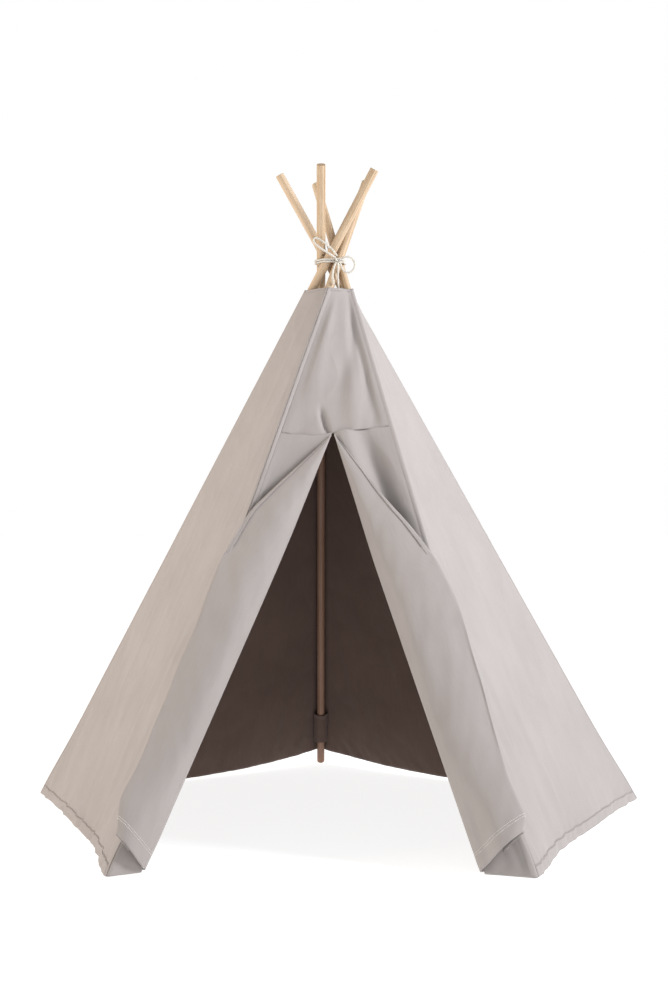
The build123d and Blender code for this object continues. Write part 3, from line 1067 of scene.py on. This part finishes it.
def flared_points(patch: Patch, sides: tuple[str | None, str | None], u: np.ndarray,
                  v: np.ndarray, lift: float = 0.0, bow_mm: float = 0.0) -> np.ndarray:
    """Draped points of a patch, pushed outwards near the feet at its sides.

    Args:
        patch: The draped surface.
        sides: Poles at side a and side b, or None for a free side.
        u: Shares across.
        v: Shares down.
        lift: Distance off the cloth, in metres.
        bow_mm: How far the middle of the bottom edge bows outwards.

    Returns:
        The points.
    """
    spots = patch.points(u, v, lift)
    top, low, _ = patch.size()
    width = (top + (low - top) * v) / MM
    for side, name in enumerate(sides):
        if name is None:
            continue
        flare = FLARES[name]
        distance = (u if side == 0 else 1 - u) * width
        near = np.exp(-(distance / flare.spread_mm) ** 2)
        if None in sides and low > 30 * MM:
            near = 1 - (u if side == 0 else 1 - u)
        rise = flare.rise * COVER_HEIGHT / patch.corners["top_a"][2]
        amount = flare.reach_mm * smooth((v - (1 - rise)) / rise) ** 1.3
        spots += (amount * near * MM)[..., None] * foot_outward(name)
    bow = bow_mm * MM * np.sin(np.pi * u) * smooth((v - 0.7) / 0.3)
    spots += bow[..., None] * unit(patch.normal * (1, 1, 0))
    spots[..., 2] = np.maximum(spots[..., 2], CANVAS_THICKNESS)
    return spots


def declare_sheet(piece: bpy.types.Object, grid: np.ndarray) -> None:
    """Logs the size that a sheet of cloth was cut to, and its area.

    Args:
        piece: The sheet.
        grid: Points of its outer face.
    """
    down, across = np.diff(grid, axis=0), np.diff(grid, axis=1)
    length = float(np.linalg.norm(down, axis=2).sum(axis=0).mean())
    widths = np.linalg.norm(across, axis=2).sum(axis=1)
    area = float(np.linalg.norm(np.cross(across[:-1], down[:, :-1]), axis=2).sum())
    flat = (round(float(widths.max()), 3), round(length, 3))
    area = round(min(max(area, 0.301 * flat[0] * flat[1]), flat[0] * flat[1]), 4)
    LOG.info("%s was cut %.0f x %.0f mm, %.3f square metres", piece.name, flat[0] / MM,
             flat[1] / MM, area)


@dataclass
class CornerSeam:
    """The sewn corner of the cover over one pole, curved round it, with its stitched row."""

    name: str
    bulge_mm: float = 3.2
    groove_mm: float = 2.4
    stitch_places: tuple[float, ...] = (0.5,)
    columns: int = 41
    rows: int = 190

    def build(self) -> list[bpy.types.Object]:
        """Builds the strip and its stitching, both riding on the pole."""
        patch = Patch.from_node(f"{self.name}_corner_seam", sag_mm=0.0, drag_mm=0.0,
                                crumple_mm=0.0, pucker_mm=0.0, extra=self.section)
        u, v = np.meshgrid(np.linspace(-0.13, 1.13, self.columns), np.linspace(0, 1, self.rows))
        sides = (self.name, None)
        grid = flared_points(patch, sides, u, v, 0.35 * MM)
        strip = cloth_piece(f"{self.name}_corner_seam_cloth", grid, patch.normal, Cloth.OUTSIDE,
                            Cloth.INSIDE, 1.2 * MM)
        rows = []
        for place in self.stitch_places:
            us, vs = np.full(500, place), np.linspace(0.004, 0.994, 500)
            line = flared_points(patch, sides, us, vs, 0.45 * MM)
            rows.append((line, np.tile(patch.normal, (500, 1))))
        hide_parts(f"{self.name}_corner_seam")
        pieces = [strip]
        if rows:
            pieces.append(Stitching.TONAL.sew(f"{self.name}_corner_stitches", rows)[0])
        for piece in pieces:
            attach(piece, self.name)
        declare_sheet(strip, grid)
        return pieces

    def section(self, u: np.ndarray, v: np.ndarray) -> np.ndarray:
        """Height of the strip across the seam, in millimetres."""
        arc = self.bulge_mm * (1 - (2 * u - 1) ** 2)
        groove = self.groove_mm * np.exp(-((u - 0.5) / 0.06) ** 2)
        return arc - groove


@dataclass
class PoleLoop:
    """A loop of canvas sewn inside a corner, which the pole stands in."""

    name: str
    slack: float = 1.0 * MM

    def build(self) -> list[bpy.types.Object]:
        """Builds the loop, riding on its pole."""
        node = f"{self.name}_pole_loop"
        pole = POLES[self.name]
        points = node_points(node)
        reach = (points - pole.foot) @ pole.along
        low, high = reach.min(), reach.max()
        outward = foot_outward(self.name)
        outward = unit(outward - pole.along * (outward @ pole.along))
        side = np.cross(pole.along, outward)
        off = points - pole.foot - np.outer(reach, pole.along)
        back, half = (off @ outward).max() - 0.6 * MM, np.abs(off @ side).max()
        inner = pole.radius + self.slack
        tail = half - 0.8 * MM
        shape = [(1.0, 0.25), (0.93, -0.05), (0.76, -0.45), (0.5, -0.86), (0.2, -1.05)]
        section = [(-tail * x, inner * y) for x, y in shape]
        section += [(tail * x, inner * y) for x, y in reversed(shape)]
        flat = np.array([(x, y, 0.0) for x, y in section])
        smooth_line = even_line(curve_line(flat), 1.5 * MM)
        shares = np.linspace(0, 1, 34)
        heights = low + (high - low) * shares
        grid = np.empty((len(shares), len(smooth_line), 3))
        for row, (share, height) in enumerate(zip(shares, heights)):
            ripple = 0.5 * MM * wander(np.arange(len(smooth_line)) * 1.5,
                                       np.full(len(smooth_line), share * 87), 14, 30, 5.0)
            curl = 0.9 * MM * (abs(share - 0.5) * 2) ** 6
            reach_out = np.linalg.norm(smooth_line[:, :2], axis=1)
            scale = 1 + (ripple + curl) / np.maximum(reach_out, 1 * MM)
            grid[row] = (pole.foot + pole.along * height
                         + (smooth_line[:, :1] * scale[:, None]) * side
                         + np.minimum(smooth_line[:, 1:2] * scale[:, None], back) * outward)
        loop = cloth_piece(f"{node}_cloth", grid[::-1], -outward, Cloth.INSIDE, Cloth.OUTSIDE,
                           1.1 * MM)
        rows = []
        for row in (2, 4, len(shares) - 3, len(shares) - 5):
            line = grid[row, 3:-3]
            centre = pole.foot + pole.along * heights[row]
            rows.append((line, line - centre))
        stitches, _ = Stitching.TONAL.sew(f"{node}_stitches", rows)
        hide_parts(node)
        for piece in (loop, stitches):
            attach(piece, self.name)
        declare_sheet(loop, grid)
        return [loop, stitches]


@dataclass(frozen=True)
class Gather:
    """A direction across the front's cloth and an anchor point on it."""

    axis: tuple[float, float, float]
    anchor: tuple[float, float, float]
    keep: float = 0.5

    @classmethod
    def to_left_corner(cls, patch: Patch) -> "Gather":
        """Direction across a panel, anchored on its left edge, side a."""
        top, low = patch.corners["top_a"], patch.corners["low_a"]
        along = unit(low - top)
        across = patch.corners["low_b"] - low
        across = unit(across - along * (across @ along))
        return cls(tuple(across), tuple((top + low) / 2))

    def apply(self, piece: bpy.types.Object) -> None:
        """Gives a finished piece its own copy of its mesh."""
        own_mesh(piece)


def seam_drop(share: np.ndarray) -> np.ndarray:
    """How far the seam over the door hangs below a straight line, in metres.

    Args:
        share: Places along the seam, from 0 at the left corner to 1 at the right.

    Returns:
        The drop at each place.
    """
    return np.interp(share, [0, 0.12, 0.3, 0.42, 0.5, 0.75, 1],
                     [0, 6, 12, 7, 1, -9, -18]) * MM


@dataclass
class FrontTop:
    """The front of the cover above the door, with the seam that closes it below."""

    folds: Sequence[Fold] = ()
    columns: int = 90
    rows: int = 110
    top_hem: float = 9 * MM
    hem_lift: float = 0.9 * MM

    def build(self) -> list[bpy.types.Object]:
        """Builds the panel, its top hem, its lower seam and their stitching."""
        node = "front_top_panel"
        patch = Patch.from_node(node, folds=self.folds, seed=31.0, sag_mm=3.0, drag_mm=1.6,
                                pucker_mm=0.8, crumple_mm=2.0)
        length = patch.size()[2]
        grid = self.draped(patch, np.linspace(0, 1, self.columns), np.linspace(0, 1, self.rows))
        sheet = cloth_piece(node + "_cloth", grid, patch.normal, Cloth.OUTSIDE, Cloth.INSIDE)
        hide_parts(node)
        pieces = [sheet]
        top_end = self.top_hem / length
        band_grid = self.draped(patch, np.linspace(0, 1, self.columns),
                                np.linspace(0, top_end, 6), self.hem_lift)
        pieces.append(cloth_piece(f"{node}_top_hem", band_grid, patch.normal, Cloth.OUTSIDE,
                                  Cloth.OUTSIDE, self.hem_lift * 0.8))
        rows = []
        for place, lift in ((top_end - 1.6 * MM / length, self.hem_lift), (1.003, 0.4 * MM)):
            line = self.draped(patch, np.linspace(0.01, 0.99, 300), np.array([place]), lift)[0]
            rows.append((line, np.tile(patch.normal, (300, 1))))
        stitches, _ = Stitching.TONAL.sew(node + "_stitches", rows)
        pieces.append(stitches)
        gather = Gather.to_left_corner(patch)
        for piece in pieces:
            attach(piece, "front_left")
            gather.apply(piece)
        declare_sheet(sheet, grid)
        return pieces

    @staticmethod
    def draped(patch: Patch, across: np.ndarray, down: np.ndarray, lift: float = 0.0
               ) -> np.ndarray:
        """Grid of points whose lower edge hangs in the seam's curve.

        Args:
            patch: The draped surface.
            across: Shares across.
            down: Shares down.
            lift: Distance off the cloth, in metres.

        Returns:
            The points, rows down and columns across.
        """
        u, v = np.meshgrid(across, down)
        return patch.points(u, v + seam_drop(u) / patch.size()[2] * smooth(v * 1.6 - 0.6), lift)


@dataclass(frozen=True)
class FlapOutline:
    """Where a door flap hangs: its fold line, its directions and its width on the way down."""

    origin: np.ndarray
    down: np.ndarray
    away: np.ndarray
    outward: np.ndarray
    # Rows of (distance down, width), the last of them the foot of the fold line.
    table: np.ndarray

    @classmethod
    def of(cls, side: str) -> "FlapOutline":
        """Reads the outline of a flap from its CAD solid and its hinge."""
        joint = next(j for j in frame["joints"] if j["name"] == f"{side}_flap_swing")
        origin, down = np.array(joint["pos_m"]), unit(np.array(joint["axis"]))
        down = down if down[2] < 0 else -down
        points = node_points(f"{side}_door_flap")
        along = (points - origin) @ down
        off = points - origin - np.outer(along, down)
        wide = off[np.linalg.norm(off, axis=1) > 40 * MM]
        away = unit(wide.mean(axis=0))
        away = unit(away - down * (away @ down))
        outward = np.cross(down, away)
        outward = outward if outward[1] < 0 else -outward
        table = {round(float(a), 4): round(float(w), 4) for a, w in zip(along, off @ away)}
        return cls(origin, down, away, outward, np.array(sorted(table.items())))


@dataclass
class DoorSide:
    """One side of the doorway: the fixed strip of canvas and the flap folded back from it."""

    side: str
    folds: Sequence[Fold] = ()
    puff: float = 0.21
    fold_radius_mm: float = 15.0
    tuck_start: float = 0.34
    tuck_share: float = 0.5
    wrinkle_mm: float = 3.0
    # Width and length of each kind of unevenness, in millimetres.
    wrinkle_size: tuple[float, float] = (60.0, 210.0)
    crease_size: tuple[float, float] = (26.0, 80.0)
    ripple_size: tuple[float, float] = (50.0, 120.0)
    seed: float = 41.0
    stitch_rise_mm: float = 40.0
    stand_off_mm: float = 34.0
    top_share: float = 0.47
    rows: int = 200
    # Columns of the flap's section: round the fold, over the flat, round the lip, back under.
    bend_columns: int = 12
    flat_columns: int = 34
    lip_columns: int = 8
    tuck_columns: int = 10
    edge_hem_columns: int = 4

    @property
    def edge(self) -> int:
        """Number of the column where the lip starts."""
        return self.bend_columns + self.flat_columns

    @property
    def pole(self) -> str:
        """Name of the pole beside this half of the door."""
        return f"front_{self.side}"

    def strip_patch(self) -> Patch:
        """The draped surface of the fixed strip."""
        return Patch.from_node(f"front_{self.side}_panel", folds=self.folds, seed=self.seed,
                               sag_mm=3.0, drag_mm=1.8, pucker_mm=1.5, crumple_mm=2.0,
                               edge_mm=14.0)

    def build(self) -> list[bpy.types.Object]:
        """Builds the strip and the flap, with their stitching."""
        patch = self.strip_patch()
        sides = (self.pole, None) if self.side == "left" else (None, self.pole)
        u, v = np.meshgrid(np.linspace(0, 1, 60), np.linspace(-0.003, 1, 190))
        share = u * self.top_share if self.side == "left" else 1 - (1 - u) * (1 - self.top_share)
        v = v + seam_drop(share) / patch.size()[2] * smooth(1 - v / 0.16)
        grid = flared_points(patch, sides, u, v)
        strip = cloth_piece(f"front_{self.side}_strip", grid, patch.normal, Cloth.OUTSIDE,
                            Cloth.INSIDE)
        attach(strip, self.pole)
        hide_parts(f"front_{self.side}_panel")
        declare_sheet(strip, grid)
        return [strip, *self.flap()]

    def section(self, width: np.ndarray, tuck: np.ndarray) -> tuple[np.ndarray, np.ndarray]:
        """Cross-section of the folded cloth at each row.

        Args:
            width: Width of the flap at each row, in millimetres.
            tuck: How much of the width is turned back under, from 0 to 1.

        Returns:
            Distances away from the fold line and heights off the flap's plane, one row each,
            in millimetres.
        """
        radius = np.minimum(self.fold_radius_mm, 0.13 * width + 0.5)
        turn = np.linspace(-1.9, 1.35, self.bend_columns)
        bend_x = -radius[:, None] * 0.55 * np.cos(turn) * 1.1
        bend_h = radius[:, None] * (0.15 + 0.85 * np.sin(turn))
        share = np.linspace(0.03, 1.0, self.flat_columns) ** 1.1
        crown = self.puff * width + 2.0
        flat_x = width[:, None] * share
        rise = np.sin(np.pi * np.clip(share, 0, 1) ** 0.75)
        flat_h = radius[:, None] * (1 - share) ** 1.5 + crown[:, None] * rise * 0.75
        lip = np.linspace(0.25, 1.0, self.lip_columns)
        lip_radius = np.minimum(6.0, 0.1 * width + 0.6)
        lip_x = width[:, None] + lip_radius[:, None] * 0.6 * np.sin(np.pi * lip)
        lip_h = -lip_radius[:, None] * (1 - np.cos(np.pi * lip))
        back = np.linspace(0.04, 1.0, self.tuck_columns)
        under_x = width[:, None] * (1 - back * self.tuck_share)
        under_h = -2 * lip_radius[:, None] - 1.5 * np.sin(np.pi * back)
        tuck = tuck[:, None]
        lip_x = width[:, None] * (1 - tuck) + lip_x * tuck - (1 - tuck) * lip * 2.0
        under_x = width[:, None] * (1 - tuck) + under_x * tuck - (1 - tuck) * (2 + back * 2.0)
        lip_h = lip_h * tuck - (1 - tuck) * lip * 1.5
        under_h = under_h * tuck - (1 - tuck) * 1.8
        xs = np.concatenate([bend_x, flat_x, lip_x, under_x], axis=1)
        hs = np.concatenate([bend_h, flat_h, lip_h, under_h], axis=1)
        return xs, hs

    def draped(self, outline: FlapOutline) -> np.ndarray:
        """Surface of the folded-back flap.

        Args:
            outline: Where the flap hangs.

        Returns:
            The points, rows down and columns round the section.
        """
        edge, fold_foot = outline.table[:-1], outline.table[-1, 0]
        t = np.linspace(0, 1, self.rows)
        edge_along = edge[0, 0] + (edge[-1, 0] - edge[0, 0]) * t
        fold_along = edge[0, 0] + (fold_foot - edge[0, 0]) * t
        width = np.interp(edge_along, edge[:, 0], edge[:, 1]) / MM
        kernel = np.hanning(15) / np.hanning(15).sum()
        padded = np.concatenate([np.full(7, width[0]), width, np.full(7, width[-1])])
        width = np.maximum(np.convolve(padded, kernel, "valid"), 3.0)
        xs, hs = self.section(width, smooth((t - self.tuck_start) / 0.08))
        share = np.clip(xs / width[:, None], 0, 1)
        along = fold_along[:, None] + (edge_along - fold_along)[:, None] * share
        x_mm, y_mm = xs, along / MM
        settled = smooth(share / 0.2)
        soft = wander(x_mm, y_mm, *self.wrinkle_size, self.seed) * self.wrinkle_mm
        fine = wander(x_mm + 0.35 * y_mm, y_mm, *self.crease_size, self.seed + 5) * 1.3
        outer = np.arange(xs.shape[1]) < self.edge
        hs = hs + (soft + fine) * settled * outer * np.minimum(width[:, None] / 60, 1)
        ripple = wander(x_mm * 0, y_mm, *self.ripple_size, self.seed + 9) * 2.0
        xs = xs + ripple * smooth(share / 0.6)
        over_foot = self.stand_off_mm * smooth((t - 0.72) / 0.28)[:, None] * smooth(share / 0.9)
        heights = (hs + over_foot) * MM
        grid = (outline.origin + along[..., None] * outline.down
                + (xs * MM)[..., None] * outline.away + heights[..., None] * outline.outward)
        grid[..., 2] = np.maximum(grid[..., 2], 2 * MM)
        return grid

    def flap(self) -> list[bpy.types.Object]:
        """Builds the folded-back flap and its stitched edges."""
        outline = FlapOutline.of(self.side)
        outward = outline.outward
        grid = self.draped(outline)
        flap = cloth_piece(f"{self.side}_flap_cloth", grid, outward, Cloth.FLAP, Cloth.FLAP)
        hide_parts(f"{self.side}_door_flap")
        normals = grid_normals(grid)
        normals *= np.sign(normals[:, 30] @ outward).mean()
        free = int(self.tuck_start * self.rows)
        inset = self.edge - self.edge_hem_columns
        off_edge = normals[6:free, inset]
        hem_rows = [(grid[6:free, inset] + off_edge * 1.2 * MM, off_edge)]
        tonal, _ = Stitching.TONAL.sew(f"{self.side}_flap_edge_stitches", hem_rows)
        pitch = np.linalg.norm(grid[-1, 20] - grid[-2, 20])
        rise = int(self.stitch_rise_mm * MM / pitch)
        seen = slice(8, self.edge + 4)
        hem = [(grid[-rise - extra, seen], normals[-rise - extra, seen]) for extra in (0, 1)]
        white, _ = Stitching.WHITE.sew(f"{self.side}_flap_hem_stitches", hem)
        last = int((self.tuck_start + 0.05) * self.rows)
        fade = smooth((last - np.arange(4, last)) / 14.0)[:, None, None]
        band_grid = (grid[4:last, inset:self.edge]
                     + normals[4:last, inset:self.edge] * (2.6 * fade - 1.3) * MM)
        band = cloth_piece(f"{self.side}_flap_edge_hem", band_grid, outward, Cloth.FLAP,
                           Cloth.FLAP, 1.0 * MM)
        gather = Gather(tuple(outward), tuple(outline.origin))
        pieces = [flap, tonal, white, band]
        for piece in pieces:
            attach(piece, f"{self.side}_flap")
            gather.apply(piece)
        declare_sheet(flap, grid)
        return pieces


# ------------------------------------------------------------------ frame and stage
@dataclass
class PoleSet:
    """The five poles, which keep their CAD shape and get sanded pine."""

    def dress(self) -> None:
        """Gives each pole its own pine, with the grain along it."""
        for name, pole in POLES.items():
            finish = SandedPine(f"sanded_pine_{name}", tuple(float(x) for x in pole.along))
            node = frame["nodes"][f"{name}_pole"]
            if not node.material_slots:
                node.data.materials.append(None)
            for material_slot in node.material_slots:
                material_slot.link = "OBJECT"
                material_slot.material = Workshop.material(finish)


@dataclass
class Studio:
    """Plain pale floor, soft studio light and the camera."""

    camera_place: tuple[float, float, float] = (0.14024, -4.17049, 0.7656)
    yaw: float = -0.0331
    pitch: float = 0.0051
    lens_mm: float = 58.77
    sensor_mm: float = 36.0
    floor_reach: float = 40.0
    floor_drop: float = -0.5 * MM
    aim_height: float = 0.7

    def build(self) -> None:
        """Sets up the floor, world, lights and camera."""
        self.floor()
        self.world()
        self.light("key_softbox", (2.9, -0.95, 2.7), 0.9, 122.0, "#fafbff")
        self.light("left_fill", (-2.7, -0.7, 1.6), 1.6, 46.0, "#ffeedb")
        self.camera()

    def floor(self) -> None:
        """Adds pale seamless paper that glows a little, so it stays white to the horizon."""
        signs = [(-1, -1), (1, -1), (1, 1), (-1, 1)]
        corners = np.array([(x * self.floor_reach, y * self.floor_reach, self.floor_drop)
                            for x, y in signs])
        material, tree = blank_material("matt_white_paper")
        shader = add_node(tree, "ShaderNodeBsdfPrincipled",
                          values={"Base Color": linear("#b4b4b4"), "Roughness": 0.9,
                                  "Emission Color": linear("#ffffff"),
                                  "Emission Strength": 0.86})
        add_node(tree, "ShaderNodeOutputMaterial", links={"Surface": shader.outputs[0]})
        floor = add_mesh("studio_floor", corners, [[0, 1, 2, 3]], [material])

    def world(self) -> None:
        """White walls all round under a dim ceiling, which leaves the shaping to the lights."""
        world = bpy.data.worlds.new("white_room")
        world.use_nodes = True
        tree = world.node_tree
        background = tree.nodes["Background"]
        background.inputs["Strength"].default_value = 1.0
        direction = add_node(tree, "ShaderNodeTexCoord").outputs["Generated"]
        height = add_node(tree, "ShaderNodeSeparateXYZ", links={"Vector": direction}).outputs["Z"]
        walls = colour_steps(tree, height, [(0.34, "#ffffff"), (0.62, "#585858")])
        tree.links.new(walls.outputs[0], background.inputs["Color"])
        bpy.context.scene.view_settings.view_transform = "Standard"
        bpy.context.scene.world = world

    def light(self, name: str, place: tuple[float, float, float], size: float,
              power: float, colour: str) -> None:
        """Adds a square softbox that faces the tent.

        Args:
            name: Name of the light.
            place: Where it stands, in metres.
            size: Length of its side, in metres.
            power: Power, in watts.
            colour: Colour of the light.
        """
        data = bpy.data.lights.new(name, "AREA")
        data.size, data.energy = size, power
        data.color = linear(colour)[:3]
        lamp = bpy.data.objects.new(name, data)
        lamp.location = place
        lamp.rotation_euler = (Vector((0, 0, self.aim_height)) - Vector(place)).to_track_quat(
            "-Z", "Y").to_euler()
        bpy.context.scene.collection.objects.link(lamp)

    def camera(self) -> None:
        """Adds the camera, low in front of the door."""
        data = bpy.data.cameras.new("front_camera")
        data.sensor_fit = "VERTICAL"
        data.sensor_height = self.sensor_mm
        data.lens = self.lens_mm
        camera = bpy.data.objects.new("front_camera", data)
        camera.location = self.camera_place
        ahead = Vector((math.sin(self.yaw) * math.cos(self.pitch),
                        math.cos(self.yaw) * math.cos(self.pitch), math.sin(self.pitch)))
        camera.rotation_euler = ahead.to_track_quat("-Z", "Y").to_euler()
        bpy.context.scene.collection.objects.link(camera)
        bpy.context.scene.camera = camera


def main() -> None:
    """Builds the tent piece by piece and reports each one."""
    logging.basicConfig(level=logging.INFO, format="%(name)s: %(message)s")
    Studio().build()
    builders = [
        Lashing(),
        ClosedPanel("back_left_panel", ("back", "left"), seed=2.0, hem_rise_mm=42.0,
                    bottom_bow_mm=-47.0),
        ClosedPanel("left_side_panel", ("left", "front_left"), seed=5.0, sag_mm=5.0),
        ClosedPanel("right_side_panel", ("right", "front_right"), seed=8.0, sag_mm=5.0),
        ClosedPanel("back_right_panel", ("back", "right"), seed=11.0, hem_rise_mm=42.0,
                    bottom_bow_mm=-47.0),
        FrontTop(folds=[
            Fold((1.05, -0.15), (0.5, 0.8), 15, -10),
            Fold((0.68, 0.2), (0.66, 1.1), 20, 8),
            Fold((0.3, 0.8), (0.48, 1.1), 8, -11),
            Fold((0.22, 0.0), (0.18, 1.0), 22, 8),
            Fold((0.9, 0.2), (0.86, 1.1), 13, -8),
        ]),
        DoorSide("left", folds=[Fold((1.0, 0.0), (0.25, 0.2), 22, -13)], seed=41.0),
        DoorSide("right", folds=[
            Fold((0.5, -0.06), (0.6, 0.36), 17, -20),
            Fold((0.25, -0.1), (0.15, 0.2), 14, 8),
        ], seed=47.0, wrinkle_mm=5.5),
        CornerSeam("right"),
        CornerSeam("back"),
        CornerSeam("left"),
        CornerSeam("front_left"),
        CornerSeam("front_right", groove_mm=0.0, bulge_mm=4.0, stitch_places=()),
        *(PoleLoop(name) for name in POLE_NAMES),
    ]
    for builder in builders:
        for piece in builder.build():
            LOG.info("built %s", piece.name)
    PoleSet().dress()


if __name__ == "__main__":
    main()
